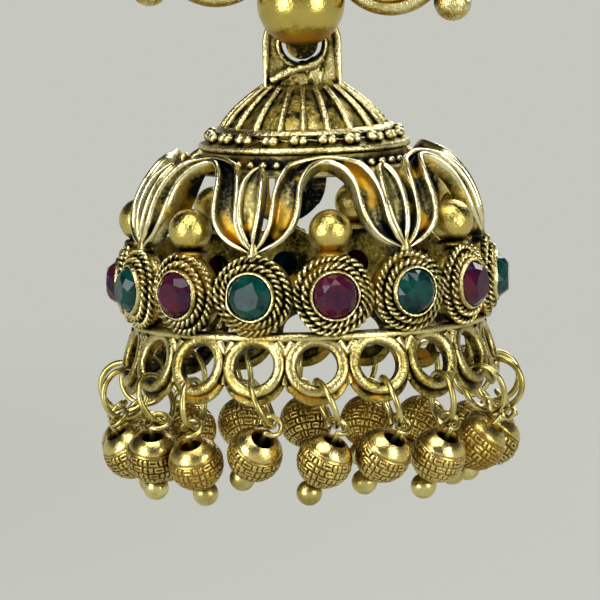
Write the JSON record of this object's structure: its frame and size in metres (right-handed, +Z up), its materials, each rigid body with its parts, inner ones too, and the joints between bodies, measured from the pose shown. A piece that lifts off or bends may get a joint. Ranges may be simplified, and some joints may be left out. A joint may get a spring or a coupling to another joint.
{
  "type": "jhumka earring",
  "caption": "Drop earring with a fan stud, an openwork domed bell with petals and stone settings, and a fringe of beads on jump rings.",
  "frame": {"origin": "centre of the ear post where it leaves the stud's back, which is where the earring hangs on the ear lobe", "axes": "+Z up, the front of the earring faces -Y, the ear post points along +Y, and the bell hangs below"},
  "size_m": [0.0321, 0.0326, 0.0502],
  "materials": {
    "antique_gold": "cast, gold plated and oxidised dark in the recesses",
    "bead_gold": "stamped hollow beads, gold plated, lightly oxidised",
    "wire_gold": "drawn wire, bright gold plated",
    "ruby_glass": "faceted dark red glass",
    "green_glass": "faceted dark green glass"
  },
  "bodies": {
    "stud": {"stud": "antique_gold", "ear_post": "wire_gold"},
    "bell": {"crown": "antique_gold", "bell": "antique_gold", "ruby_stones": "ruby_glass", "green_stones": "green_glass", "head_pins": "wire_gold", "jump_ring_01": "wire_gold", "jump_ring_02": "wire_gold", "jump_ring_03": "wire_gold", "jump_ring_04": "wire_gold", "jump_ring_05": "wire_gold", "jump_ring_06": "wire_gold", "jump_ring_07": "wire_gold", "jump_ring_08": "wire_gold", "jump_ring_09": "wire_gold", "jump_ring_10": "wire_gold", "jump_ring_11": "wire_gold", "jump_ring_12": "wire_gold", "jump_ring_13": "wire_gold", "jump_ring_14": "wire_gold", "jump_ring_15": "wire_gold", "jump_ring_16": "wire_gold", "jump_ring_17": "wire_gold", "jump_ring_18": "wire_gold", "bead_01": "bead_gold", "bead_02": "bead_gold", "bead_03": "bead_gold", "bead_04": "bead_gold", "bead_05": "bead_gold", "bead_06": "bead_gold", "bead_07": "bead_gold", "bead_08": "bead_gold", "bead_09": "bead_gold", "bead_10": "bead_gold", "bead_11": "bead_gold", "bead_12": "bead_gold", "bead_13": "bead_gold", "bead_14": "bead_gold", "bead_15": "bead_gold", "bead_16": "bead_gold", "bead_17": "bead_gold", "bead_18": "bead_gold"}
  },
  "joints": [
    {"name": "bell_swing", "type": "hinge", "parent": "stud", "child": "bell", "pos_m": [0, 0.0016, -0.01005], "axis": [0, 1, 0], "range_deg": [-40, 40]}
  ]
}
